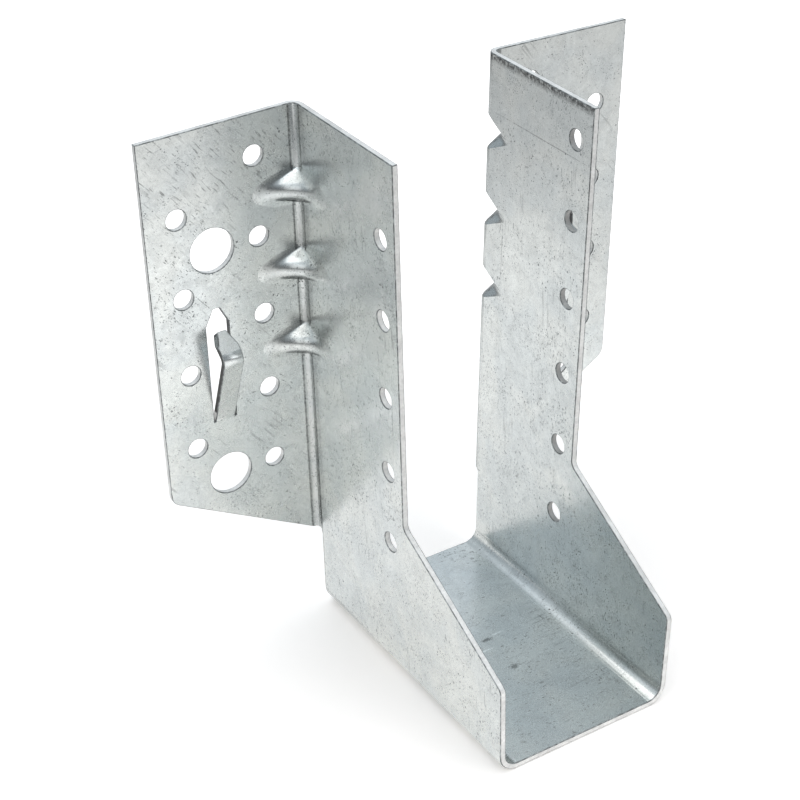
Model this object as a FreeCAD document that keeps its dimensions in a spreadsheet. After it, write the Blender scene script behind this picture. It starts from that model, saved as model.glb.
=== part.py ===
import FreeCAD, Part
import math
import operator
import os
import Sketcher

# A joist hanger folded from one sheet of galvanised steel. It stands on its seat.
# X runs across the joist, Y runs back to the header beam, Z is up, all in millimetres.
# The left half is modelled first, in the frame of its leg, and then mirrored.

SIZES = {
    # The folded channel that holds the joist
    "sheet": 1.5,
    "seat_width": 45,
    "seat_length": 80.5,
    "seat_bend_radius": 3.5,
    "leg_height": 138.5,
    "leg_depth": 41.5,
    "leg_splay": 1.2,
    "knee_height": 46,
    "lip_height": 24.8,
    "knee_radius": 2.5,
    "lip_radius": 2,
    # The flange that lies on the header beam
    "flange_width": 39,
    "flange_bend_radius": 1.5,
    "flange_foot_height": 23.5,
    "flange_foot_slant": 30.5,
    "flange_foot_fillet": 1.4,
    "flange_corner_radius": 3.5,
    # Nail and bolt holes
    "hole_pitch": 20,
    "nail_hole": 5,
    "bolt_hole": 11,
    "inner_column": 11,
    "inner_first": 10,
    "inner_count": 5,
    "outer_column": 31,
    "outer_first": 20,
    "outer_count": 4,
    "bolt_column": 23,
    "bolt_first": 30,
    "bolt_spacing": 60,
    "bolt_count": 2,
    "leg_column_inset": 5.7,
    "left_first": 19.5,
    "left_count": 5,
    "right_first": 9.5,
    "right_count": 6,
    # The gussets pressed across the flange bend
    "gusset_first": 20,
    "gusset_pitch": 20,
    "gusset_count": 3,
    "gusset_depth": 4.75,
    "gusset_reach": 12,
    "gusset_wing_rise": 1.9,
    "gusset_rim_radius": 2.6,
    "gusset_flank_angle": 56,
    "gusset_foot_radius": 1,
    "gusset_wall": 1.9,
    "dent_rim_radius": 0.8,
    "dent_flank_angle": 43,
    "dent_foot_radius": 1.5,
    "dent_foot_reach": 4,
    # The prong lanced out of the flange
    "prong_column": 23.2,
    "prong_width": 5.1,
    "prong_lean": 21,
    "prong_bend_radius": 1.5,
    "prong_shank": 18.5,
    "prong_tip": 5.5,
    "prong_tip_lean": 50,
    "prong_point_width": 2,
    "prong_point_length": 3,
    "slot_width": 5.8,
    "slot_foot": 74.5,
    "slot_shoulder": 49,
    "slot_top": 44.8,
    "slot_point_width": 1.6,
}

doc = FreeCAD.newDocument("joist_hanger")
sheet = doc.addObject("Spreadsheet::Sheet", "sizes")
for row, (name, number) in enumerate(SIZES.items(), start=1):
    sheet.set(f"A{row}", name)
    sheet.set(f"B{row}", str(number))
    sheet.setAlias(f"B{row}", name)
doc.recompute()


class Term:
    """A size, or a formula of sizes: its value now, and its text for an expression."""

    def __init__(self, value, text):
        self.value = value
        self.text = text

    def __add__(self, other):
        return combine(operator.add, "+", self, other)

    def __sub__(self, other):
        return combine(operator.sub, "-", self, other)

    def __radd__(self, other):
        return combine(operator.add, "+", other, self)

    def __rsub__(self, other):
        return combine(operator.sub, "-", other, self)

    def __mul__(self, other):
        return combine(operator.mul, "*", self, other)

    def __truediv__(self, other):
        return combine(operator.truediv, "/", self, other)

    def __neg__(self):
        return Term(-self.value, f"(-{self.text})")


def as_term(item):
    return item if isinstance(item, Term) else Term(item, str(item))


def combine(action, sign, left, right):
    left = as_term(left)
    right = as_term(right)
    return Term(action(left.value, right.value), f"({left.text} {sign} {right.text})")


def size(name):
    return Term(getattr(sheet, name), f"sizes.{name}")


def sine(angle):
    return Term(math.sin(math.radians(angle.value)), f"sin({angle.text})")


def cosine(angle):
    return Term(math.cos(math.radians(angle.value)), f"cos({angle.text})")


def tangent(angle):
    return Term(math.tan(math.radians(angle.value)), f"tan({angle.text})")


def root(term):
    return Term(math.sqrt(term.value), f"sqrt({term.text})")


SHEET = size("sheet")
LEG_TOP = size("leg_height")
FOOT_X = size("seat_width") / 2 + SHEET
FLANGE_BEND = size("flange_bend_radius")
BEND_DEPTH = SHEET + FLANGE_BEND

body = doc.addObject("PartDesign::Body", "joist_hanger")
body.Label = "joist_hanger"


def origin_plane(role):
    return next(item for item in body.Origin.OriginFeatures if item.Role == role)


def bind(target, path, term):
    """Give a property its value from the sheet."""
    target.setExpression(path, term.text)


def leg_frame(name, side):
    """Axes at the foot of a leg's outer face: local Z runs up the leg, which leans outward."""
    frame = body.newObject("PartDesign::CoordinateSystem", name)
    frame.AttachmentSupport = [(origin_plane("XY_Plane"), "")]
    frame.MapMode = "FlatFace"
    tilt = size("leg_splay") * side
    turn = FreeCAD.Rotation(FreeCAD.Vector(0, 1, 0), tilt.value)
    frame.AttachmentOffset = FreeCAD.Placement(FreeCAD.Vector((FOOT_X * side).value, 0, 0), turn)
    bind(frame, "AttachmentOffset.Base.x", FOOT_X * side)
    bind(frame, "AttachmentOffset.Rotation.Angle", tilt)
    return frame


left_leg = leg_frame("left_leg_frame", -1)
right_leg = leg_frame("right_leg_frame", 1)
doc.recompute()


def new_sketch(name, support, mode, shift=None):
    """A sketch on a plane of its support, shifted along that plane's normal."""
    sketch = body.newObject("Sketcher::SketchObject", name)
    sketch.AttachmentSupport = [(support, "")]
    sketch.MapMode = mode
    if shift is not None:
        sketch.AttachmentOffset = FreeCAD.Placement(FreeCAD.Vector(0, 0, shift.value), FreeCAD.Rotation())
        bind(sketch, "AttachmentOffset.Base.z", shift)
    return sketch


def dimension(sketch, kind, term, *where):
    """A driving dimension bound to the sheet."""
    index = sketch.addConstraint(Sketcher.Constraint(kind, *where, term.value))
    sketch.setExpression(f"Constraints[{index}]", term.text)


def place_point(sketch, geometry, end, x, y):
    """Hold one end of a sketch element at x, y, each a term or zero."""
    for kind, axis, term in (("DistanceX", -2, x), ("DistanceY", -1, y)):
        if isinstance(term, Term):
            dimension(sketch, kind, term, -1, 1, geometry, end)
        else:
            sketch.addConstraint(Sketcher.Constraint("PointOnObject", geometry, end, axis))


def arc_between(start, finish, radius, left):
    """The smaller arc from start to finish that has its centre on the left or right."""
    chord = finish - start
    normal = FreeCAD.Vector(-chord.y, chord.x, 0).normalize()
    reach = math.sqrt(radius ** 2 - (chord.Length / 2) ** 2)
    centre = (start + finish) / 2 + normal * (reach if left else -reach)
    first = math.atan2(start.y - centre.y, start.x - centre.x)
    last = math.atan2(finish.y - centre.y, finish.x - centre.x)
    circle = Part.Circle(centre, FreeCAD.Vector(0, 0, 1), radius)
    return Part.ArcOfCircle(circle, first, last) if left else Part.ArcOfCircle(circle, last, first)


def outline(sketch, corners, arcs=None):
    """A closed loop through the corners. arcs gives a side's radius and where its centre lies."""
    arcs = arcs or {}
    points = [FreeCAD.Vector(as_term(x).value, as_term(y).value, 0) for x, y in corners]
    ends = []
    for side, start in enumerate(points):
        finish = points[(side + 1) % len(points)]
        if side in arcs:
            radius, centre_side = arcs[side]
            left = centre_side == "left"
            geometry = sketch.addGeometry(arc_between(start, finish, radius.value, left))
            ends.append((geometry, 1, 2) if left else (geometry, 2, 1))
        else:
            ends.append((sketch.addGeometry(Part.LineSegment(start, finish)), 1, 2))
    for side, (geometry, start_end, _) in enumerate(ends):
        previous, _, previous_end = ends[side - 1]
        sketch.addConstraint(Sketcher.Constraint("Coincident", previous, previous_end, geometry, start_end))
        place_point(sketch, geometry, start_end, *corners[side])
        if side in arcs:
            dimension(sketch, "Radius", arcs[side][0], geometry)


def hole(sketch, x, y, diameter):
    """One round hole in a sketch."""
    centre = FreeCAD.Vector(x.value, y.value, 0)
    circle = Part.Circle(centre, FreeCAD.Vector(0, 0, 1), diameter.value / 2)
    geometry = sketch.addGeometry(circle)
    place_point(sketch, geometry, 3, x, y)
    dimension(sketch, "Diameter", diameter, geometry)


def pad(name, sketch, length, both_ways=False):
    feature = body.newObject("PartDesign::Pad", name)
    feature.Profile = sketch
    feature.Midplane = both_ways
    bind(feature, "Length", length)
    return feature


def pocket(name, sketch, length=None):
    """A cut both ways from its sketch, of a given length in all or through everything."""
    feature = body.newObject("PartDesign::Pocket", name)
    feature.Profile = sketch
    feature.Midplane = True
    if length is None:
        feature.Type = "ThroughAll"
    else:
        bind(feature, "Length", length)
    return feature


def repeat_down(name, originals, axis_sketch, pitch, count):
    """Repeat features down the leg."""
    pattern = body.newObject("PartDesign::LinearPattern", name)
    pattern.Originals = originals
    pattern.Direction = (axis_sketch, ["V_Axis"])
    pattern.Reversed = True
    bind(pattern, "Length", pitch * (count - 1))
    bind(pattern, "Occurrences", count)
    body.Tip = pattern
    return pattern


def channel():
    """Half of the seat, its bend and one leg, as a bent strip pushed along the joist."""
    splay = size("leg_splay")
    inner = size("seat_bend_radius")
    outer = inner + SHEET
    bend_z = outer
    # The outer leg line leans through the foot point, and the bend is tangent to it and to the floor.
    bend_x = -(FOOT_X - outer * (1 - sine(splay)) / cosine(splay))
    top_x = -(FOOT_X + LEG_TOP * sine(splay))
    top_z = LEG_TOP * cosine(splay)
    corners = [
        (0, 0),
        (bend_x, 0),
        (bend_x - outer * cosine(splay), bend_z - outer * sine(splay)),
        (top_x, top_z),
        (top_x + SHEET * cosine(splay), top_z + SHEET * sine(splay)),
        (bend_x - inner * cosine(splay), bend_z - inner * sine(splay)),
        (bend_x, SHEET),
        (0, SHEET),
    ]
    sketch = new_sketch("channel_section", origin_plane("XZ_Plane"), "FlatFace", BEND_DEPTH)
    outline(sketch, corners, {1: (outer, "right"), 5: (inner, "left")})
    pad("channel", sketch, size("seat_length") - BEND_DEPTH)


def side_profile():
    """Cut the leg back to its narrow upper part and the slope down to the front lip."""
    corners = [
        (-size("leg_depth"), LEG_TOP * 2),
        (-size("leg_depth"), size("knee_height")),
        (-size("seat_length"), size("lip_height")),
        (-size("seat_length") * 2, size("lip_height")),
        (-size("seat_length") * 2, LEG_TOP * 2),
    ]
    sketch = new_sketch("side_profile", left_leg, "ObjectYZ")
    outline(sketch, corners)
    pocket("side_profile_cut", sketch)


def flange():
    """The flange and its bend, which starts where the leg's back edge ends."""
    tip_x = -size("flange_width")
    corners = [
        (SHEET, -BEND_DEPTH),
        (0, -BEND_DEPTH),
        (-FLANGE_BEND, -SHEET),
        (tip_x, -SHEET),
        (tip_x, 0),
        (-FLANGE_BEND, 0),
    ]
    sketch = new_sketch("flange_section", left_leg, "ObjectXY", LEG_TOP)
    outline(sketch, corners, {1: (FLANGE_BEND, "left"), 5: (BEND_DEPTH, "right")})
    feature = pad("flange", sketch, LEG_TOP - size("flange_foot_height") + size("flange_foot_fillet"))
    feature.Reversed = True


def flange_foot():
    """Slant the flange's lower edge and round it into the leg's back edge."""
    foot = size("flange_foot_height")
    fillet = size("flange_foot_fillet")
    far = size("flange_width") * 2
    slant = tangent(size("flange_foot_slant"))
    sketch = new_sketch("foot_fillet", left_leg, "ObjectYZ")
    corners = [
        (SHEET, foot),
        (-BEND_DEPTH + fillet, foot),
        (-BEND_DEPTH, foot - fillet),
        (-BEND_DEPTH, foot - fillet * 2),
        (SHEET, foot - fillet * 2),
    ]
    outline(sketch, corners, {1: (fillet, "left")})
    pocket("foot_fillet_cut", sketch)
    sketch = new_sketch("foot_slant", left_leg, "ObjectXZ")
    corners = [
        (-FLANGE_BEND, foot - fillet * 2),
        (-FLANGE_BEND, foot),
        (-far, foot + (far - FLANGE_BEND) * slant),
        (-far, foot - fillet * 2),
    ]
    outline(sketch, corners)
    pocket("foot_slant_cut", sketch, BEND_DEPTH * 2)


def edge_through(shape, across, x, y, z):
    """The name of the edge that runs across the sheet at a point in the left leg's frame.

    across is x for a corner of the leg and y for a corner of the flange.
    """
    to_leg = left_leg.Placement.inverse()
    for index, edge in enumerate(shape.Edges, start=1):
        ends = [to_leg.multVec(vertex.Point) - FreeCAD.Vector(x, y, z) for vertex in edge.Vertexes]
        for end in ends:
            setattr(end, across, 0)
        if len(ends) == 2 and all(end.Length < 0.05 for end in ends):
            return f"Edge{index}"
    raise ValueError(f"no edge across the sheet at {x}, {y}, {z}")


def round_corner(name, across, x, y, z, radius):
    """Round one corner of the leg or the flange."""
    doc.recompute()
    base = body.Tip
    feature = body.newObject("PartDesign::Fillet", name)
    feature.Base = (base, [edge_through(base.Shape, across, x.value, y.value, z.value)])
    bind(feature, "Radius", radius)


def gusset_levels(rim_radius, flank_angle, foot_radius, foot_depth, foot_reach, rim_steps):
    """One flank from its rim to its foot: the distance from the middle, depth and reach of each level.

    The rim is an arc, the flank is straight and a hollow arc at the foot runs out along the
    bend. The reach along both faces follows an ellipse.
    """
    rim_centre = size("gusset_depth") - rim_radius
    foot_centre = foot_depth + foot_radius
    profile = []
    for step in range(rim_steps + 1):
        turn = flank_angle * step / rim_steps
        profile.append((rim_radius * sine(turn), rim_centre + rim_radius * cosine(turn)))
    rim_end, rim_end_depth = profile[-1]
    foot_start_depth = foot_centre - foot_radius * cosine(flank_angle)
    foot_start = rim_end + (rim_end_depth - foot_start_depth) / tangent(flank_angle)
    foot_end = foot_start + foot_radius * sine(flank_angle)
    for turn in (flank_angle, flank_angle / 2, as_term(0)):
        profile.append((foot_end - foot_radius * sine(turn), foot_centre - foot_radius * cosine(turn)))
    reach = size("gusset_reach")
    narrowing = (1 - (foot_reach / reach) * (foot_reach / reach)) / (foot_end * foot_end)
    return [(level, depth, reach * root(1 - level * level * narrowing)) for level, depth in profile]


def gusset_section(name, height, depth, reach, wall, back):
    """A corner wedge closed by two sloping wings and an arc between them.

    depth is how far the bead's face stands out from the corner of the two outer faces, and
    reach how far it runs along each. A dent's face lies a wall further in. back is how far
    the wedge's two straight sides lie behind the outer faces.
    """
    share = size("gusset_wing_rise") / size("gusset_depth")
    meeting = depth * share / root(as_term(2))
    slope = meeting / (reach - meeting)
    stretch = root(1 + slope * slope)
    radius = depth * (1 - share) / (root(as_term(2)) * stretch / (1 + slope) - 1)
    straight = radius * (1 - slope) / (1 + slope)
    along = meeting + (straight - wall * slope) / stretch
    out = meeting - (straight * slope + wall) / stretch
    wing = reach + (back - wall * stretch) / slope
    sketch = new_sketch(name, left_leg, "ObjectXY", height)
    corners = [
        (back, -SHEET + back),
        (-wing, -SHEET + back),
        (-along, -SHEET - out),
        (-out, -SHEET - along),
        (back, -SHEET - wing),
    ]
    outline(sketch, corners, {2: (radius + wall, "right")})
    return sketch


def gusset_loft(kind, name, levels, wall, back):
    """A loft down the bend through the levels of the upper flank, and of the lower one."""
    centre = LEG_TOP - size("gusset_first")
    rising = [(-level, depth, reach) for level, depth, reach in reversed(levels[1:])]
    sections = [
        gusset_section(f"{name}_section_{index}", centre + level, depth, reach, wall, back)
        for index, (level, depth, reach) in enumerate(rising + levels, start=1)
    ]
    feature = body.newObject(f"PartDesign::{kind}Loft", name)
    feature.Profile = sections[0]
    feature.Sections = sections[1:]
    feature.Ruled = True
    body.Tip = feature
    return feature


def gussets(axis_sketch):
    """Beads pressed forward across the bend, and the dents that they leave behind it."""
    bury = size("sheet") / 25
    wall = size("gusset_wall")
    # Both run out just under the face of the plain bend
    corner_gap = root(as_term(2)) - 1
    bead_foot = FLANGE_BEND * corner_gap - bury
    dent_foot = FLANGE_BEND * corner_gap - SHEET + wall - bury
    bead_levels = gusset_levels(
        size("gusset_rim_radius"), size("gusset_flank_angle"), size("gusset_foot_radius"), bead_foot, FLANGE_BEND, 3
    )
    dent_levels = gusset_levels(
        size("dent_rim_radius"), size("dent_flank_angle"), size("dent_foot_radius"), dent_foot, size("dent_foot_reach"), 1
    )
    bead = gusset_loft("Additive", "gusset_bead", bead_levels, as_term(0), bury)
    dent = gusset_loft("Subtractive", "gusset_dent", dent_levels, wall, wall + bury)
    repeat_down("gussets", [bead, dent], axis_sketch, size("gusset_pitch"), size("gusset_count"))


def flange_holes():
    """Two columns of nail holes and one of bolt holes. The first sketch gives the leg's axis."""
    columns = [
        ("inner_nail_holes", "inner_column", "inner_first", "nail_hole", "hole_pitch", "inner_count"),
        ("outer_nail_holes", "outer_column", "outer_first", "nail_hole", "hole_pitch", "outer_count"),
        ("bolt_holes", "bolt_column", "bolt_first", "bolt_hole", "bolt_spacing", "bolt_count"),
    ]
    for name, column, first, diameter, pitch, count in columns:
        sketch = new_sketch(f"{name}_sketch", left_leg, "ObjectXZ")
        hole(sketch, -size(column), LEG_TOP - size(first), size(diameter))
        cut = pocket(f"{name}_cut", sketch, SHEET * 4)
        body.Tip = cut
        repeat_down(name, [cut], sketch, size(pitch), size(count))


def prong_slot():
    """The window that the prong leaves in the flange, pointed at the top."""
    half = size("slot_width") / 2
    point = size("slot_point_width") / 2
    centre = -size("prong_column")
    foot = LEG_TOP - size("slot_foot")
    shoulder = LEG_TOP - size("slot_shoulder")
    top = LEG_TOP - size("slot_top")
    corners = [
        (centre - half, foot),
        (centre + half, foot),
        (centre + half, shoulder),
        (centre + point, top),
        (centre - point, top),
        (centre - half, shoulder),
    ]
    sketch = new_sketch("prong_slot", left_leg, "ObjectXZ")
    outline(sketch, corners)
    pocket("prong_slot_cut", sketch, SHEET * 4)


def prong():
    """A strip bent forward at the slot's foot and back again at its knee, cut to a point."""
    bend = size("prong_bend_radius")
    lean = size("prong_lean")
    back_lean = size("prong_tip_lean")
    foot = LEG_TOP - size("slot_foot")
    hinge = -(SHEET + bend)
    rise = size("prong_shank") * cosine(lean)
    stride = size("prong_shank") * sine(lean)

    def on_hinge(radius):
        return hinge + radius * cosine(lean), foot + radius * sine(lean)

    front_x, front_z = on_hinge(bend)
    back_x, back_z = on_hinge(bend + SHEET)
    knee_x = back_x - stride + bend * cosine(lean)
    knee_z = back_z + rise + bend * sine(lean)

    def on_knee(radius):
        return knee_x - radius * cosine(back_lean), knee_z + radius * sine(back_lean)

    outer_x, outer_z = on_knee(bend + SHEET)
    inner_x, inner_z = on_knee(bend)
    tip_x = size("prong_tip") * sine(back_lean)
    tip_z = size("prong_tip") * cosine(back_lean)
    corners = [
        (-SHEET, foot),
        (front_x, front_z),
        (front_x - stride, front_z + rise),
        (outer_x, outer_z),
        (outer_x + tip_x, outer_z + tip_z),
        (inner_x + tip_x, inner_z + tip_z),
        (inner_x, inner_z),
        (back_x - stride, back_z + rise),
        (back_x, back_z),
        (0, foot),
    ]
    arcs = {0: (bend, "left"), 2: (bend + SHEET, "right"), 6: (bend, "left"), 8: (bend + SHEET, "right")}
    sketch = new_sketch("prong_section", left_leg, "ObjectYZ", -size("prong_column"))
    outline(sketch, corners, arcs)
    pad("prong", sketch, size("prong_width"), both_ways=True)
    sketch = new_sketch("prong_point", left_leg, "ObjectXZ")
    top = outer_z + tip_z
    for side in (-1, 1):
        edge = (size("prong_width") + size("slot_width")) / 4
        corners = [
            (edge * side - size("prong_column"), top - size("prong_point_length")),
            (edge * side - size("prong_column"), top + SHEET / 4),
            (size("prong_point_width") * side / 2 - size("prong_column"), top + SHEET / 4),
            (size("prong_point_width") * side / 2 - size("prong_column"), top),
        ]
        outline(sketch, corners)
    pocket("prong_point_cut", sketch)


def mirror_half():
    """The right half is the left one mirrored at the joist's middle plane."""
    doc.recompute()
    feature = body.newObject("PartDesign::Mirrored", "both_halves")
    feature.TransformMode = "Whole shape"
    feature.MirrorPlane = (origin_plane("YZ_Plane"), [""])
    body.Tip = feature


def leg_holes(name, frame, first, count):
    """A column of nail holes close behind a leg's front edge."""
    sketch = new_sketch(f"{name}_sketch", frame, "ObjectYZ")
    hole(sketch, size("leg_column_inset") - size("leg_depth"), LEG_TOP - first, size("nail_hole"))
    cut = pocket(f"{name}_cut", sketch, SHEET * 4)
    body.Tip = cut
    repeat_down(name, [cut], sketch, size("hole_pitch"), count)


channel()
side_profile()
ZERO = as_term(0)
round_corner("knee", "x", ZERO, -size("leg_depth"), size("knee_height"), size("knee_radius"))
round_corner("lip_corner", "x", ZERO, -size("seat_length"), size("lip_height"), size("lip_radius"))
flange()
flange_foot()
CORNER_RISE = (size("flange_width") - FLANGE_BEND) * tangent(size("flange_foot_slant"))
round_corner(
    "flange_corner",
    "y",
    -size("flange_width"),
    ZERO,
    size("flange_foot_height") + CORNER_RISE,
    size("flange_corner_radius"),
)
flange_holes()
gussets(doc.getObject("inner_nail_holes_sketch"))
prong_slot()
prong()
mirror_half()
leg_holes("left_leg_holes", left_leg, size("left_first"), size("left_count"))
leg_holes("right_leg_holes", right_leg, size("right_first"), size("right_count"))

# The finished part stands with the middle of its footprint at the origin
bind(body, "Placement.Base.y", size("seat_length") / 2)
doc.recompute()

for item in doc.Objects:
    if "Invalid" in item.State or "Error" in item.State:
        raise RuntimeError(f"{item.Name} failed: {item.State}")
if body.Shape.isNull() or not body.Shape.isValid() or len(body.Shape.Solids) != 1:
    raise RuntimeError("joist_hanger is not one valid solid")
os.makedirs("parts", exist_ok=True)
body.Shape.exportStep(f"parts/{body.Label}.step")
print(f"{body.Label}: volume {body.Shape.Volume:.1f}, {len(body.Shape.Faces)} faces, {body.Shape.BoundBox}")
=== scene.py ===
import math

import bpy
from mathutils import Matrix, Vector
from mathutils.bvhtree import BVHTree

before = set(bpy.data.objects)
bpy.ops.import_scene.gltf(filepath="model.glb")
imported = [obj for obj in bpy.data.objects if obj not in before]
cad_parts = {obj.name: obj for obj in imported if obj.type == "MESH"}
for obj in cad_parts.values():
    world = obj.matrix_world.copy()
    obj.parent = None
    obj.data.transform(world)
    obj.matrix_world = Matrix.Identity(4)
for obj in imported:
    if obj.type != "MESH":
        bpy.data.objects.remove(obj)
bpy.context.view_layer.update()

# Places and lengths are in metres, in the part's own frame. A pair says where a change starts
# and where it is whole, or the two levels that it runs between. The levels given to fixed places
# (strips, rims, prongs, torn edges, bores, outer flanges and left leg) stand in for light and
# shade of the photograph that the shape and the lamps don't give.

# The sheet. A face is a cut edge when more than SKIN_LIMIT sheets of metal lie behind it
SHEET = 0.0015
SKIN_LIMIT = 1.75
JUST_INSIDE = 0.02
WORN_EDGE = 0.0002
WELD_GAP = 0.000002
FLAT_ANGLE = math.radians(0.3)
SHARP_ANGLE = math.radians(65)
CORNER_SLOT = 2

# The camera stands where the photograph was taken from
CAMERA_TARGET = Vector((-0.05459, -0.04703, 0.11525))
CAMERA_DISTANCE = 0.36963
CAMERA_YAW = 32.482
CAMERA_PITCH = 31.924
CAMERA_ROLL = -0.55
CLIP_START = 0.01
FOCAL_PIXELS = 1962.95
IMAGE_PIXELS = 800
SENSOR = 36.0

# The finishes: colours (linear), metal share and roughness
COOL_ZINC = (0.708, 0.742, 0.738)
WARM_ZINC = (0.722, 0.743, 0.724)
ZINC_METALLIC = 0.94
ZINC_ROUGHNESS = (0.30, 0.21)
FLECK_ROUGHNESS = 0.5
CUT_STEEL = (0.965, 0.955, 0.93)
STEEL_METALLIC = 0.2
STEEL_ROUGHNESS = (0.50, 0.38)
SHEARED_CORNER = (0.20, 0.21, 0.21)
CORNER_METALLIC = 0.8
CORNER_ROUGHNESS = (0.55, 0.40)

# The part of its range that a noise fills, a mask's whole range, and how square a face has to be
NOISE_RANGE = (0.3, 0.7)
UNIT = (0.0, 1.0)
SQUARE_ON = (0.75, 0.9)

# The zinc: its tone, mottle and grain, where it turns warm, and how deep its marks are
CLOUD_LEVELS = {"Tone": (0.92, 1.05), "Mottle": (0.91, 1.06), "Grain": (0.92, 1.05)}
WARM_FROM = (0.4, 0.6)
ZINC_RELIEF = {"Strength": 0.15, "Distance": 0.00005}
MOTTLE_HEIGHT = 0.5
LINE_DEPTH = 2.0

# The cut edges: their ribs and smears, and the breaks in the dark line along their corners
RIB_LEVEL = (0.84, 1.0)
SMEAR_FROM = (0.35, 0.6)
SMEAR_LEVEL = (0.80, 1.0)
STEEL_RELIEF = {"Strength": 0.2, "Distance": 0.00003}
BREAK_FROM = (0.42, 0.62)
BREAK_LEVEL = (0.75, 2.2)

# Flecks: how far they are bent, their size and soft rim in cells, how dark and how crowded
FLECK_BEND = (0.0004, 0.0004, 0.0004)
FLECK_SIZE = (0.16, 0.46)
FLECK_RIM = (0.0, 0.10)
FLECK_DARKNESS = (0.35, 1.0)
PATCH_RISE = (0.0, 0.22)
PATCH_CROWD = (0.0, 0.85)
FLECK_AMOUNT = (0.62, 1.9)
FLECK_SHARE = 0.54
SEAT_FLECK_SHARE = 0.32
CLUSTER_SHARE = 0.22

# All marks: the noise level above which they show, and how far their amount lowers it
SHOWN_ABOVE = 0.75
AMOUNT_REACH = 0.5

# Scratches and spots: how thin, how bundled and how ragged they are
LINE_FROM = (0.60, 0.68)
BUNDLE_RISE = (0.0, 0.14)
CORNER_SCRATCHES = 0.50
SPOT_RIM = (1.1, 0.5)
RAGGED_RIM = (-0.5, 0.5)
SMUDGE_RIM = (-0.2, 0.3)
SMUDGE_DARKNESS = (0.85, 0.20)

# The directions that rolling and handling left their marks in, and how marks are drawn out
DIAGONAL_TURN = (0.0, math.radians(-50), 0.0)
DIAGONAL = (0.64, 0.0, -0.77)
DIAGONAL_ACROSS = (0.77, 0.0, 0.64)
UPRIGHT = (0.0, 0.06, 1.0)
UPRIGHT_ACROSS = (0.0, 1.0, -0.06)
ACROSS_SEAT = (1.0, 0.05, 0.0)
ALONG_SEAT = (-0.05, 1.0, 0.0)
DRAWN_ON_LEG = (1.0, 1.1, 0.4)
DRAWN_ON_FLANGE = (0.4, 1.0, 1.1)
DRAWN_ON_SEAT = (0.3, 1.2, 1.0)

# Marks at their own places, each as share, centre and radii
FLECK_CLUSTERS = [
    (1.0, (0.0252, 0.0370, 0.1280), (0.0020, 0.0004, 0.0110)),
    (1.0, (0.0252, 0.0012, 0.1250), (0.0020, 0.0008, 0.0140)),
    (1.0, (-0.0558, 0.03875, 0.1327), (0.0009, 0.0010, 0.0028)),
    (1.0, (-0.0398, 0.03875, 0.1182), (0.0016, 0.0010, 0.0014)),
]
SCRATCHED_CORNER = [(1.0, (-0.052, 0.0388, 0.128), (0.026, 0.010, 0.016))]
SCUFFS_AND_LINES = [
    (0.55, (0.0003, -0.0120, 0.0015), (0.0014, 0.0009, 0.0010)),
    (0.60, (0.0004, 0.0001, 0.0015), (0.0018, 0.0006, 0.0010)),
    (0.42, (0.0250, 0.0160, 0.1245), (0.0020, 0.0200, 0.00016)),
    (0.34, (0.0244, 0.0307, 0.0895), (0.0020, 0.00014, 0.0130)),
]
DIAGONAL_LINES = [
    (0.45, (-0.1069, 0.03875, 0.0214), (0.0036, 0.0010, 0.00012)),
    (0.35, (-0.0893, 0.03875, 0.0210), (0.0034, 0.0010, 0.00010)),
]
SEAT_BRIGHT_MARKS = [
    (1.0, (0.0040, 0.0009, 0.0015), (0.0020, 0.0003, 0.0010)),
    (1.0, (-0.0019, -0.0032, 0.0015), (0.0018, 0.0003, 0.0010)),
]

# The flange bends: painted shade along the creases beside them, a strip between them painted darker low
# down and lighter high up, and the gussets across them, with painted shade under their rims
HALF_WIDTH = 0.024
LEG_SPLAY = math.tan(math.radians(1.2))
FLANGE_FRONT = 0.03875
CREASE_INSET = 0.0017
CREASE_WIDTH = (0.0001, 0.0004)
CREASE_REACH = (0.0002, 0.0004)
CREASE_RIM = (-0.3, 0.3)
# How dark the painted shade along the creases is, with a ragged edge
CREASE_DARKNESS = (0.85, 0.35)
STRIP_WIDTH = (0.0011, 0.0015)
STRIP_SURFACE = (-0.0003, 0.0)
# The strip gets painted shade low down and a painted highlight high up; the seat's brighter marks share
# its levels
STRIP_HEIGHT = (0.114, 0.122)
STRIP_SHARE = (-0.45, 1.0)
MARK_AND_STRIP_SHARE = (-0.5, 1.0)
MARK_AND_STRIP_LEVEL = (0.82, 1.36)
GUSSETS_FROM = (0.060, 0.065)
FACING_DOWN = (-0.75, -0.40)
# How dark the painted shade under the gussets' rims is
UNDER_RIM_LEVEL = 0.35

# The lanced prongs and their windows, with painted shade on the tips and torn edges and a painted
# highlight over the knees
PRONG_COLUMN = 0.0492
PRONG_WINDOW_HALF = (0.0045, 0.0050)
WINDOW_LOW = (0.0660, 0.0665)
WINDOW_HIGH = (0.0935, 0.0940)
# How dark the painted shade on the torn window edges is
TORN_EDGE_SHADE = 0.05
PRONG_OUTWARD = (0.0425, 0.0430)
PRONG_FORWARD = (0.0376, 0.0382)
# The prongs get a painted highlight over the knee and painted shade on the tip
KNEE_SLOPE = (0.02, 0.14)
KNEE_LEVEL = 1.32
TIP_SLOPE = (0.40, 0.52)
TIP_LEVEL = 0.50
PRONG_MARKS = 0.2

# The right leg: its column of nail holes, whose bores get painted shade, and its smudged top
RIGHT_SIDE = (0.0, 0.001)
LEG_OUTSIDE = (0.0285, 0.029)
HOLE_COLUMN = 0.00445
HOLE_HALF = (0.0027, 0.0028)
BELOW_TOP = (0.1370, 0.1375)
# How dark the painted shade in the bores is
BORE_SHADE = 0.50
RIGHT_HALF = (0.0, 0.01)
FLECKED_TOP = (0.1364, 0.1376)
SMUDGED_TOP = (0.1362, 0.1376)

# The flanges' outer parts, with a painted highlight, and the left leg, with painted shade, and how
# bright they are against the rest
OUTER_FLANGE = (0.031, 0.042)
OUTER_LEVEL = 1.09
LEFT_LEG = (-0.023, -0.010)
LEFT_LEVEL = 0.97

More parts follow.
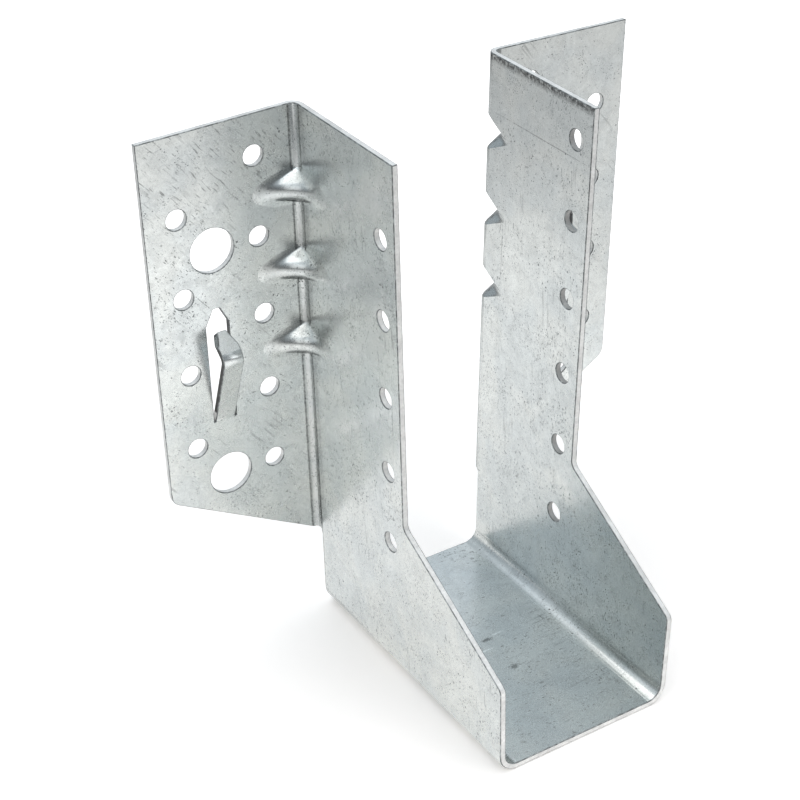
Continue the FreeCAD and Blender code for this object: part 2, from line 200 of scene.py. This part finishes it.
# The room: dim in front and brighter behind. The metal sees white straight overhead alone
FRONT_LOW = (0.112, 0.120, 0.127, 1.0)
FRONT_HIGH = (0.56, 0.62, 0.67, 1.0)
BACK_LOW = (0.39, 0.44, 0.48, 1.0)
BACK_HIGH = (0.90, 0.98, 1.05, 1.0)
ROOM_RISE = (-0.05, 0.75)
ROOM_CURVE = 2.0
ROOM_DEPTH = (-0.4, 0.6)
OVERHEAD = (0.78, 0.95)
WHITE = (1.0, 1.0, 1.0, 1.0)

# The floor: paper in an oval pool of light, which the camera sees as white
FLOOR_SIZE = 6.0
FLOOR_PAPER = (0.90, 0.85, 0.815)
FLOOR_GLOW = 0.22
CAMERA_PAPER = 1.5
CAMERA_GLOW_FROM = (0.10, 0.45)
CAMERA_GLOW = 0.8
POOL_CENTRE = (-0.026, 0.012, 0.0)
POOL_ACROSS = (1.42, 0.47, 0.0)
POOL_ALONG = (-0.316, 0.949, 0.0)
POOL_RIM = (0.16, 0.26)
POOL_LEVEL = (1.20, 0.78)
POOL_BACKWARD = (-0.06, 0.06)
POOL_TILT = (1.04, 0.93)
FADE_FROM = (0.25, 0.9)
FADE_LEVEL = 0.25

LAMP_TARGET = (0.0, 0.0, 0.05)


def socket(tree, node, name, value):
    """Set an input, or link it when the value is another node's output."""
    target = node.inputs[name]
    if isinstance(value, bpy.types.NodeSocket):
        tree.links.new(value, target)
    else:
        target.default_value = value


def add(tree, kind, inputs=None, **settings):
    """A node with its settings and inputs."""
    node = tree.nodes.new(f"ShaderNode{kind}")
    for name, value in settings.items():
        setattr(node, name, value)
    for name, value in (inputs or {}).items():
        socket(tree, node, name, value)
    return node


def math_node(tree, operation, first, second):
    return add(tree, "Math", {0: first, 1: second}, operation=operation).outputs[0]


def product(tree, *factors):
    """Masks and levels multiplied together."""
    result = factors[0]
    for factor in factors[1:]:
        result = math_node(tree, "MULTIPLY", result, factor)
    return result


def strongest(tree, *masks):
    result = masks[0]
    for mask in masks[1:]:
        result = math_node(tree, "MAXIMUM", result, mask)
    return result


def size_of(tree, value):
    """A value without its sign."""
    return math_node(tree, "ABSOLUTE", value, 0.0)


def remap(tree, value, low, high, to_low=0.0, to_high=1.0, smooth=False):
    """A value stretched from one range to another, and held inside it."""
    node = add(
        tree,
        "MapRange",
        {"Value": value, "From Min": low, "From Max": high, "To Min": to_low, "To Max": to_high},
        clamp=True,
        interpolation_type="SMOOTHSTEP" if smooth else "LINEAR",
    )
    return node.outputs["Result"]


def vector_node(tree, operation, first, second):
    return add(tree, "VectorMath", {0: first, 1: second}, operation=operation).outputs[0]


def dot(tree, first, second):
    node = add(tree, "VectorMath", {0: first, 1: second}, operation="DOT_PRODUCT")
    return node.outputs["Value"]


def length(tree, vector):
    return add(tree, "VectorMath", {0: vector}, operation="LENGTH").outputs["Value"]


def coordinate(tree, vector, axis):
    return add(tree, "SeparateXYZ", {"Vector": vector}).outputs[axis]


def scaled_colour(tree, colour, level):
    return add(tree, "VectorMath", {0: colour, "Scale": level}, operation="SCALE").outputs[0]


def mix_colour(tree, factor, first, second):
    node = add(tree, "Mix", data_type="RGBA", clamp_factor=True)
    socket(tree, node, 0, factor)
    socket(tree, node, 6, first)
    socket(tree, node, 7, second)
    return node.outputs[2]


def mix_float(tree, factor, first, second):
    node = add(tree, "Mix", data_type="FLOAT", clamp_factor=True)
    socket(tree, node, 0, factor)
    socket(tree, node, 2, first)
    socket(tree, node, 3, second)
    return node.outputs[0]


def mix_vector(tree, factor, first, second):
    node = add(tree, "Mix", data_type="VECTOR", clamp_factor=True)
    socket(tree, node, 0, factor)
    socket(tree, node, 4, first)
    socket(tree, node, 5, second)
    return node.outputs[1]


def noise(tree, vector, scale, detail=2.0, roughness=0.5, distortion=0.0):
    inputs = {"Vector": vector, "Scale": scale, "Detail": detail, "Roughness": roughness}
    return add(tree, "TexNoise", {**inputs, "Distortion": distortion}).outputs["Fac"]


def new_group(name, inputs, outputs):
    """A shader node group with float and vector sockets."""
    tree = bpy.data.node_groups.new(name, "ShaderNodeTree")
    for label, kind, value in inputs:
        item = tree.interface.new_socket(label, in_out="INPUT", socket_type=f"NodeSocket{kind}")
        if value is not None:
            item.default_value = value
    for label, kind in outputs:
        tree.interface.new_socket(label, in_out="OUTPUT", socket_type=f"NodeSocket{kind}")
    return tree, tree.nodes.new("NodeGroupInput"), tree.nodes.new("NodeGroupOutput")


def patches(tree, noise_level, amount):
    """How far a noise rises above the level where marks show. A larger amount lowers the level."""
    limit = math_node(tree, "SUBTRACT", SHOWN_ABOVE, product(tree, amount, AMOUNT_REACH))
    return math_node(tree, "SUBTRACT", noise_level, limit)


def flecks_group():
    """Tiny dark flecks of uneven size, gathered in loose patches."""
    tree, given, out = new_group(
        "dross_flecks",
        [
            ("Vector", "Vector", None),
            ("Fleck Scale", "Float", 2300.0),
            ("Patch Scale", "Float", 170.0),
            ("Amount", "Float", 0.5),
        ],
        [("Mask", "Float")],
    )
    vector = given.outputs["Vector"]
    wobble = add(tree, "TexNoise", {"Vector": vector, "Scale": 2600.0, "Detail": 1.0})
    bent = add(
        tree, "VectorMath", {0: wobble.outputs["Color"], 1: FLECK_BEND, 2: vector},
        operation="MULTIPLY_ADD",
    )
    cells = add(tree, "TexVoronoi", {"Vector": bent.outputs[0], "Scale": given.outputs["Fleck Scale"]})
    chance = add(tree, "SeparateColor", {"Color": cells.outputs["Color"]})
    size = remap(tree, chance.outputs["Red"], *UNIT, *FLECK_SIZE)
    flecks = remap(tree, math_node(tree, "SUBTRACT", size, cells.outputs["Distance"]), *FLECK_RIM)
    patch = noise(tree, vector, given.outputs["Patch Scale"], 4.0, 0.65, 0.6)
    crowd = remap(tree, patches(tree, patch, given.outputs["Amount"]), *PATCH_RISE, *PATCH_CROWD)
    shown = math_node(tree, "LESS_THAN", chance.outputs["Green"], crowd)
    darkness = remap(tree, chance.outputs["Blue"], *UNIT, *FLECK_DARKNESS)
    socket(tree, out, "Mask", product(tree, flecks, shown, darkness))
    return tree


def scratches_group():
    """Thin straight lines along one direction, in scattered bundles."""
    tree, given, out = new_group(
        "fine_scratches",
        [
            ("Vector", "Vector", None),
            ("Along", "Vector", (0.0, 0.0, 1.0)),
            ("Across", "Vector", (1.0, 0.0, 0.0)),
            ("Length Scale", "Float", 170.0),
            ("Width Scale", "Float", 2600.0),
            ("Bundle Scale", "Float", 90.0),
            ("Amount", "Float", 0.5),
        ],
        [("Mask", "Float")],
    )
    vector = given.outputs["Vector"]
    along = dot(tree, vector, given.outputs["Along"])
    across = dot(tree, vector, given.outputs["Across"])
    drawn = add(
        tree,
        "CombineXYZ",
        {
            "X": product(tree, along, given.outputs["Length Scale"]),
            "Y": product(tree, across, given.outputs["Width Scale"]),
        },
    )
    thin = remap(tree, noise(tree, drawn.outputs[0], 1.0, 1.0, 0.4), *LINE_FROM)
    bundle = noise(tree, vector, given.outputs["Bundle Scale"], 2.0, 0.6, 0.3)
    shown = remap(tree, patches(tree, bundle, given.outputs["Amount"]), *BUNDLE_RISE)
    socket(tree, out, "Mask", product(tree, thin, shown))
    return tree


def clouds_group():
    """Slow cloudy change of tone across the zinc, a finer mottle and tiny grain."""
    tree, given, out = new_group(
        "zinc_clouds",
        [("Vector", "Vector", None)],
        [("Tone", "Float"), ("Mottle", "Float"), ("Grain", "Float")],
    )
    vector = given.outputs["Vector"]
    socket(tree, out, "Tone", noise(tree, vector, 70.0, 3.0, 0.55, 0.5))
    socket(tree, out, "Mottle", noise(tree, vector, 300.0, 4.0, 0.7, 0.8))
    socket(tree, out, "Grain", noise(tree, vector, 1900.0, 2.0, 0.7, 0.3))
    return tree


def spot_group():
    """A soft-edged oval mark around one place, as ragged at its rim as it is told to be."""
    tree, given, out = new_group(
        "spot",
        [
            ("Vector", "Vector", None),
            ("Centre", "Vector", (0.0, 0.0, 0.0)),
            ("Radii", "Vector", (0.001, 0.001, 0.001)),
            ("Ragged", "Float", 0.0),
        ],
        [("Mask", "Float")],
    )
    offset = vector_node(tree, "SUBTRACT", given.outputs["Vector"], given.outputs["Centre"])
    scaled = vector_node(tree, "DIVIDE", offset, given.outputs["Radii"])
    rim = math_node(tree, "ADD", length(tree, scaled), given.outputs["Ragged"])
    socket(tree, out, "Mask", remap(tree, rim, *SPOT_RIM))
    return tree


FLECKS = flecks_group()
SCRATCHES = scratches_group()
CLOUDS = clouds_group()
SPOT = spot_group()


def place(tree, group, **inputs):
    """A node group placed in a material with its own values."""
    node = tree.nodes.new("ShaderNodeGroup")
    node.node_tree = group
    for name, value in inputs.items():
        socket(tree, node, name.replace("_", " "), value)
    return node


def marks_on(tree, group, where, share, **inputs):
    node = place(tree, group, Vector=where, **inputs)
    return product(tree, node.outputs[0], share)


def spots_on(tree, where, ragged, spots):
    """The strongest of several oval marks, each given as share, centre and radii."""
    masks = []
    for share, centre, radii in spots:
        masks.append(marks_on(tree, SPOT, where, share, Centre=centre, Radii=radii, Ragged=ragged))
    return strongest(tree, *masks)


def new_material(name):
    material = bpy.data.materials.new(name)
    material.use_nodes = True
    tree = material.node_tree
    tree.nodes.clear()
    shader = add(tree, "BsdfPrincipled")
    add(tree, "OutputMaterial", {"Surface": shader.outputs[0]})
    where = add(tree, "TexCoord").outputs["Object"]
    return material, tree, shader, where


def add_bump(tree, shader, relief, height):
    """Raise a surface by a height, with the strength and distance of the finish's relief."""
    bump = add(tree, "Bump", {**relief, "Height": height})
    socket(tree, shader, "Normal", bump.outputs[0])


def facing(tree, axis):
    """1 on faces that lie square to an axis, 0 on the others."""
    normal = coordinate(tree, add(tree, "NewGeometry").outputs["True Normal"], axis)
    return remap(tree, size_of(tree, normal), *SQUARE_ON)


def upward_slope(tree):
    """How far a face looks up: 1 for straight up, -1 for straight down."""
    return coordinate(tree, add(tree, "NewGeometry").outputs["Normal"], "Z")


def bend_zones(tree, where):
    """Where the hollow side of each flange bend is painted: narrow creases on both sides, which get
    painted shade, and the strip between, which gets painted shade low down and a painted highlight high
    up.
    """
    side = size_of(tree, coordinate(tree, where, "X"))
    lean = product(tree, coordinate(tree, where, "Z"), LEG_SPLAY)
    from_leg = math_node(tree, "SUBTRACT", math_node(tree, "SUBTRACT", side, HALF_WIDTH), lean)
    from_flange = math_node(tree, "SUBTRACT", FLANGE_FRONT, coordinate(tree, where, "Y"))
    creases = []
    for distance, other in ((from_leg, from_flange), (from_flange, from_leg)):
        off = size_of(tree, math_node(tree, "SUBTRACT", distance, CREASE_INSET))
        band = remap(tree, off, *CREASE_WIDTH, 1.0, 0.0)
        near = remap(tree, size_of(tree, other), *CREASE_REACH, 1.0, 0.0)
        creases.append(product(tree, band, near))
    farther = math_node(tree, "MAXIMUM", from_leg, from_flange)
    nearer = math_node(tree, "MINIMUM", from_leg, from_flange)
    inside = remap(tree, farther, *STRIP_WIDTH, 1.0, 0.0)
    strip = product(tree, inside, remap(tree, nearer, *STRIP_SURFACE))
    return strongest(tree, *creases), strip


def on_prongs(tree, where):
    """1 on the lanced prongs, which stand out in front of the flanges."""
    outward = remap(tree, size_of(tree, coordinate(tree, where, "X")), *PRONG_OUTWARD)
    forward = remap(tree, coordinate(tree, where, "Y"), *PRONG_FORWARD, 1.0, 0.0)
    return product(tree, outward, forward)


def prong_level(tree, where):
    """How bright the prongs are painted against the sheet: painted shade on the tip, a painted highlight
    over the knee.
    """
    slope = upward_slope(tree)
    brighter = remap(tree, slope, *KNEE_SLOPE, 1.0, KNEE_LEVEL)
    darker = remap(tree, slope, *TIP_SLOPE, 1.0, TIP_LEVEL)
    return mix_float(tree, on_prongs(tree, where), 1.0, product(tree, brighter, darker))


def under_rims(tree, height_at):
    """1 on the undersides of the pressed gussets, which get painted shade along the crease."""
    downward = remap(tree, upward_slope(tree), *FACING_DOWN, 1.0, 0.0)
    return product(tree, downward, remap(tree, height_at, *GUSSETS_FROM))


def mark_directions(tree, where, diagonal, on_flange, on_seat):
    """Where strokes are drawn, and the directions along and across them, on each face."""
    on_leg_at = vector_node(tree, "MULTIPLY", where, DRAWN_ON_LEG)
    on_flange_at = vector_node(tree, "MULTIPLY", diagonal, DRAWN_ON_FLANGE)
    on_seat_at = vector_node(tree, "MULTIPLY", where, DRAWN_ON_SEAT)
    strokes_at = mix_vector(tree, on_flange, on_leg_at, on_flange_at)
    strokes_at = mix_vector(tree, on_seat, strokes_at, on_seat_at)
    along = mix_vector(tree, on_flange, UPRIGHT, DIAGONAL)
    along = mix_vector(tree, on_seat, along, ACROSS_SEAT)
    across = mix_vector(tree, on_flange, UPRIGHT_ACROSS, DIAGONAL_ACROSS)
    across = mix_vector(tree, on_seat, across, ALONG_SEAT)
    return strokes_at, along, across


def zinc_marks(tree, where, ragged):
    """Dark marks on the zinc: flecks everywhere, and strokes and lines that follow each face."""
    on_flange = facing(tree, "Y")
    on_leg = facing(tree, "X")
    on_seat = facing(tree, "Z")
    turned = add(
        tree, "VectorRotate", {"Vector": where, "Rotation": DIAGONAL_TURN}, rotation_type="EULER_XYZ"
    )
    diagonal = turned.outputs[0]
    strokes_at, along, across = mark_directions(tree, where, diagonal, on_flange, on_seat)
    height_at = coordinate(tree, where, "Z")
    on_right = product(tree, remap(tree, coordinate(tree, where, "X"), *RIGHT_HALF), on_leg)
    flecked_top = product(tree, remap(tree, height_at, *FLECKED_TOP), on_right)
    smudged_top = product(tree, remap(tree, height_at, *SMUDGED_TOP), on_right)
    crowded = strongest(tree, spots_on(tree, where, ragged, FLECK_CLUSTERS), flecked_top)
    amount = remap(tree, crowded, *UNIT, *FLECK_AMOUNT)
    share = remap(tree, on_seat, *UNIT, FLECK_SHARE, SEAT_FLECK_SHARE)
    share = math_node(tree, "ADD", share, product(tree, crowded, CLUSTER_SHARE))
    corner = product(tree, spots_on(tree, where, ragged, SCRATCHED_CORNER), on_flange, CORNER_SCRATCHES)
    flecks = strongest(
        tree,
        marks_on(tree, FLECKS, where, share, Amount=amount),
        marks_on(tree, FLECKS, where, 0.66, Fleck_Scale=1500.0, Patch_Scale=90.0, Amount=0.47),
        marks_on(tree, FLECKS, strokes_at, 0.50, Patch_Scale=140.0, Amount=0.61),
    )
    lines = strongest(
        tree,
        marks_on(
            tree, SCRATCHES, where, corner, Along=DIAGONAL, Across=DIAGONAL_ACROSS,
            Length_Scale=300.0, Width_Scale=2100.0, Bundle_Scale=260.0, Amount=0.72,
        ),
        marks_on(
            tree, SCRATCHES, where, 0.28, Along=along, Across=across,
            Length_Scale=80.0, Width_Scale=1500.0, Bundle_Scale=100.0, Amount=0.43,
        ),
        spots_on(tree, where, ragged, SCUFFS_AND_LINES),
        spots_on(tree, diagonal, ragged, DIAGONAL_LINES),
        product(tree, smudged_top, remap(tree, ragged, *SMUDGE_RIM, *SMUDGE_DARKNESS)),
    )
    left_on = remap(tree, on_prongs(tree, where), *UNIT, 1.0, PRONG_MARKS)
    return product(tree, flecks, left_on), product(tree, lines, left_on)


def marks_and_painted_light_level(tree, where, ragged, strip):
    """How bright the zinc is painted: brighter marks on the seat, painted shade and a painted highlight
    on the bend strips, painted shade under the gussets' rims, and the prongs' painted shade and
    highlight.
    """
    height_at = coordinate(tree, where, "Z")
    # Painted shade low on the bend strips and a painted highlight high on them, added to the seat's
    # brighter marks
    strip = product(tree, strip, remap(tree, height_at, *STRIP_HEIGHT, *STRIP_SHARE))
    marks_and_strip = math_node(tree, "ADD", spots_on(tree, where, ragged, SEAT_BRIGHT_MARKS), strip)
    marks_and_painted_light = remap(tree, marks_and_strip, *MARK_AND_STRIP_SHARE, *MARK_AND_STRIP_LEVEL)
    # Painted shade under the gussets' rims
    shaded_rims = remap(tree, under_rims(tree, height_at), *UNIT, 1.0, UNDER_RIM_LEVEL)
    # The prongs' painted shade and highlight
    return product(tree, marks_and_painted_light, shaded_rims, prong_level(tree, where))


def painted_sheet_light(tree, where):
    """A painted highlight makes the flanges' outer parts brighter than the rest, and painted shade makes
    the left leg a little darker.
    """
    sideways = coordinate(tree, where, "X")
    outer = remap(tree, size_of(tree, sideways), *OUTER_FLANGE, 1.0, OUTER_LEVEL)
    return product(tree, outer, remap(tree, sideways, *LEFT_LEG, LEFT_LEVEL, 1.0))


def zinc_sheet():
    """Dull zinc: cloudy tone, fine mottle, dross flecks and fine scratches."""
    material, tree, shader, where = new_material("zinc_sheet")
    clouds = place(tree, CLOUDS, Vector=where).outputs
    ragged = remap(tree, noise(tree, where, 1600.0, 3.0, 0.7), *NOISE_RANGE, *RAGGED_RIM)
    flecks, lines = zinc_marks(tree, where, ragged)
    creases, strip = bend_zones(tree, where)
    # Painted shade along the creases beside each bend, ragged at its edge
    creases = product(tree, creases, remap(tree, ragged, *CREASE_RIM, *CREASE_DARKNESS))
    lines = strongest(tree, lines, creases)
    marks_and_painted_light = marks_and_painted_light_level(tree, where, ragged, strip)
    cloudy = [remap(tree, clouds[name], *NOISE_RANGE, *levels) for name, levels in CLOUD_LEVELS.items()]
    keep = math_node(tree, "SUBTRACT", 1.0, strongest(tree, flecks, lines))
    level = product(tree, *cloudy, product(tree, keep, marks_and_painted_light), painted_sheet_light(tree, where))
    hue = mix_colour(tree, remap(tree, clouds["Tone"], *WARM_FROM), (*COOL_ZINC, 1.0), (*WARM_ZINC, 1.0))
    socket(tree, shader, "Base Color", scaled_colour(tree, hue, level))
    shader.inputs["Metallic"].default_value = ZINC_METALLIC
    rough = remap(tree, clouds["Mottle"], *NOISE_RANGE, *ZINC_ROUGHNESS)
    rough = math_node(tree, "ADD", rough, product(tree, flecks, FLECK_ROUGHNESS))
    socket(tree, shader, "Roughness", rough)
    raised = product(tree, clouds["Mottle"], MOTTLE_HEIGHT)
    height = math_node(tree, "SUBTRACT", raised, product(tree, lines, LINE_DEPTH))
    add_bump(tree, shader, ZINC_RELIEF, height)
    return material


def torn_windows(tree, sideways, height_at):
    """1 on the torn edges of the prongs and their windows."""
    off_column = math_node(tree, "SUBTRACT", size_of(tree, sideways), PRONG_COLUMN)
    return product(
        tree,
        remap(tree, size_of(tree, off_column), *PRONG_WINDOW_HALF, 1.0, 0.0),
        remap(tree, height_at, *WINDOW_LOW),
        remap(tree, height_at, *WINDOW_HIGH, 1.0, 0.0),
    )


def right_bores(tree, sideways, backward, height_at):
    """1 in the right leg's nail holes, which get painted shade."""
    off_column = math_node(tree, "SUBTRACT", backward, HOLE_COLUMN)
    return product(
        tree,
        remap(tree, sideways, *RIGHT_SIDE),
        remap(tree, sideways, *LEG_OUTSIDE, 1.0, 0.0),
        remap(tree, size_of(tree, off_column), *HOLE_HALF, 1.0, 0.0),
        remap(tree, height_at, *BELOW_TOP, 1.0, 0.0),
    )


def cut_edge():
    """Bright sheared steel, finely ribbed across the sheet, with painted shade on the prongs' torn
    window edges and in the right leg's bores.
    """
    material, tree, shader, where = new_material("cut_edge")
    ribs = noise(tree, where, 1800.0, 2.0, 0.6, 0.2)
    smears = noise(tree, where, 220.0, 3.0, 0.6, 0.5)
    sideways, backward, height_at = add(tree, "SeparateXYZ", {"Vector": where}).outputs
    torn = torn_windows(tree, sideways, height_at)
    bores = right_bores(tree, sideways, backward, height_at)
    level = product(
        tree,
        remap(tree, ribs, *NOISE_RANGE, *RIB_LEVEL),
        remap(tree, smears, *SMEAR_FROM, *SMEAR_LEVEL),
        # Painted shade on the torn window edges and in the bores
        remap(tree, torn, *UNIT, 1.0, TORN_EDGE_SHADE),
        remap(tree, bores, *UNIT, 1.0, BORE_SHADE),
    )
    socket(tree, shader, "Base Color", scaled_colour(tree, CUT_STEEL, level))
    shader.inputs["Metallic"].default_value = STEEL_METALLIC
    socket(tree, shader, "Roughness", remap(tree, ribs, *NOISE_RANGE, *STEEL_ROUGHNESS))
    add_bump(tree, shader, STEEL_RELIEF, ribs)
    return material


def sheared_corner():
    """A dark line along each sharp corner, broken here and there."""
    material, tree, shader, where = new_material("sheared_corner")
    breaks = remap(tree, noise(tree, where, 700.0, 3.0, 0.7, 0.4), *BREAK_FROM, *BREAK_LEVEL)
    socket(tree, shader, "Base Color", scaled_colour(tree, SHEARED_CORNER, breaks))
    shader.inputs["Metallic"].default_value = CORNER_METALLIC
    rough = remap(tree, noise(tree, where, 1500.0), *NOISE_RANGE, *CORNER_ROUGHNESS)
    socket(tree, shader, "Roughness", rough)
    return material


def wall_thickness(solid, polygon):
    """How far it is through the metal behind a face."""
    inward = -polygon.normal
    start = polygon.center + inward * SHEET * JUST_INSIDE
    hit, _, _, distance = solid.ray_cast(start, inward)
    return distance if hit else 0.0


def dress_sheet(hanger):
    """Give the sheet's two skins zinc and its cut edges bare steel, and dull its sharp corners."""
    mesh = hanger.data
    mesh.materials.clear()
    mesh.materials.append(zinc_sheet())
    mesh.materials.append(cut_edge())
    mesh.materials.append(sheared_corner())
    solid = BVHTree.FromPolygons([v.co for v in mesh.vertices], [p.vertices[:] for p in mesh.polygons])
    for polygon in mesh.polygons:
        polygon.material_index = int(wall_thickness(solid, polygon) > SHEET * SKIN_LIMIT)
    weld = hanger.modifiers.new("weld", "WELD")
    weld.merge_threshold = WELD_GAP
    flat = hanger.modifiers.new("flat_faces", "DECIMATE")
    flat.decimate_type = "DISSOLVE"
    flat.angle_limit = FLAT_ANGLE
    flat.delimit = {"MATERIAL"}
    worn = hanger.modifiers.new("worn_edges", "BEVEL")
    worn.width = WORN_EDGE
    worn.segments = 2
    worn.limit_method = "ANGLE"
    worn.angle_limit = SHARP_ANGLE
    worn.use_clamp_overlap = False
    worn.material = CORNER_SLOT
    worn.harden_normals = True


def floor_material():
    """White paper in a pool of light. The camera sees it white all over, with the shadow kept."""
    material = bpy.data.materials.new("floor")
    material.use_nodes = True
    tree = material.node_tree
    tree.nodes.clear()
    where = add(tree, "TexCoord").outputs["Object"]
    distance = length(tree, where)
    offset = vector_node(tree, "SUBTRACT", where, POOL_CENTRE)
    across = dot(tree, offset, POOL_ACROSS)
    along = dot(tree, offset, POOL_ALONG)
    spread = length(tree, add(tree, "CombineXYZ", {"X": across, "Y": along}).outputs[0])
    lit = product(
        tree,
        remap(tree, spread, *POOL_RIM, *POOL_LEVEL, smooth=True),
        remap(tree, coordinate(tree, where, "Y"), *POOL_BACKWARD, *POOL_TILT),
        remap(tree, distance, *FADE_FROM, 1.0, FADE_LEVEL),
    )
    far_away = remap(tree, distance, *CAMERA_GLOW_FROM, 0.0, CAMERA_GLOW)
    seen = add(tree, "LightPath").outputs["Is Camera Ray"]
    level = mix_float(tree, seen, lit, CAMERA_PAPER)
    paper = add(tree, "BsdfDiffuse", {"Color": scaled_colour(tree, FLOOR_PAPER, level)})
    strength = mix_float(tree, seen, product(tree, lit, FLOOR_GLOW), far_away)
    glow = add(tree, "Emission", {"Strength": strength})
    both = add(tree, "AddShader", {0: paper.outputs[0], 1: glow.outputs[0]})
    add(tree, "OutputMaterial", {"Surface": both.outputs[0]})
    return material


def studio_floor():
    bpy.ops.mesh.primitive_plane_add(size=FLOOR_SIZE, location=(0.0, 0.0, 0.0))
    floor = bpy.context.object
    floor.name = "floor"
    floor.data.materials.append(floor_material())


def studio_world():
    """A room dim at the horizon. The camera sees it all white, and the metal the part overhead."""
    world = bpy.data.worlds.new("studio")
    bpy.context.scene.world = world
    world.use_nodes = True
    tree = world.node_tree
    tree.nodes.clear()
    towards = add(tree, "SeparateXYZ", {"Vector": add(tree, "TexCoord").outputs["Generated"]})
    rise = math_node(tree, "POWER", remap(tree, towards.outputs["Z"], *ROOM_RISE), ROOM_CURVE)
    front = mix_colour(tree, rise, FRONT_LOW, FRONT_HIGH)
    back = mix_colour(tree, rise, BACK_LOW, BACK_HIGH)
    shade = mix_colour(tree, remap(tree, towards.outputs["Y"], *ROOM_DEPTH), front, back)
    room = add(tree, "Background", {"Color": shade, "Strength": 1.0})
    white = add(tree, "Background", {"Color": WHITE, "Strength": 1.0})
    rays = add(tree, "LightPath").outputs
    mirrored = strongest(tree, rays["Is Glossy Ray"], rays["Is Transmission Ray"])
    overhead = remap(tree, towards.outputs["Z"], *OVERHEAD, smooth=True)
    seen = strongest(tree, rays["Is Camera Ray"], product(tree, mirrored, overhead))
    mix = add(tree, "MixShader", {0: seen, 1: room.outputs[0], 2: white.outputs[0]})
    add(tree, "OutputWorld", {"Surface": mix.outputs[0]})


def soft_lamp(name, stand, size, power):
    """A square softbox, given by its place, that looks at the part."""
    light = bpy.data.lights.new(name, "AREA")
    light.shape = "SQUARE"
    light.size = size
    light.energy = power
    lamp = bpy.data.objects.new(name, light)
    bpy.context.scene.collection.objects.link(lamp)
    lamp.location = stand
    lamp.rotation_euler = (Vector(LAMP_TARGET) - Vector(stand)).to_track_quat("-Z", "Y").to_euler()


def photo_camera():
    yaw = math.radians(CAMERA_YAW)
    pitch = math.radians(CAMERA_PITCH)
    roll = math.radians(CAMERA_ROLL)
    back = Vector((-math.sin(yaw) * math.cos(pitch), -math.cos(yaw) * math.cos(pitch), math.sin(pitch)))
    level = Vector((math.cos(yaw), -math.sin(yaw), 0.0))
    upright = back.cross(level)
    right = math.cos(roll) * level + math.sin(roll) * upright
    up = -math.sin(roll) * level + math.cos(roll) * upright
    lens = bpy.data.cameras.new("camera")
    lens.sensor_width = SENSOR
    lens.lens = FOCAL_PIXELS * SENSOR / IMAGE_PIXELS
    lens.clip_start = CLIP_START
    camera = bpy.data.objects.new("camera", lens)
    bpy.context.scene.collection.objects.link(camera)
    turn = Matrix((right, up, back)).transposed().to_4x4()
    camera.matrix_world = Matrix.Translation(CAMERA_TARGET + back * CAMERA_DISTANCE) @ turn
    bpy.context.scene.camera = camera


dress_sheet(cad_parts["joist_hanger"])
studio_floor()
studio_world()
soft_lamp("top_softbox", (-0.05, -0.2, 1.2), size=1.3, power=4.4)
soft_lamp("left_softbox", (-0.95, -0.5, 0.55), size=0.8, power=1.6)
soft_lamp("front_softbox", (0.45, -0.9, 0.52), size=0.6, power=1.3)
photo_camera()
bpy.context.scene.view_settings.view_transform = "Standard"
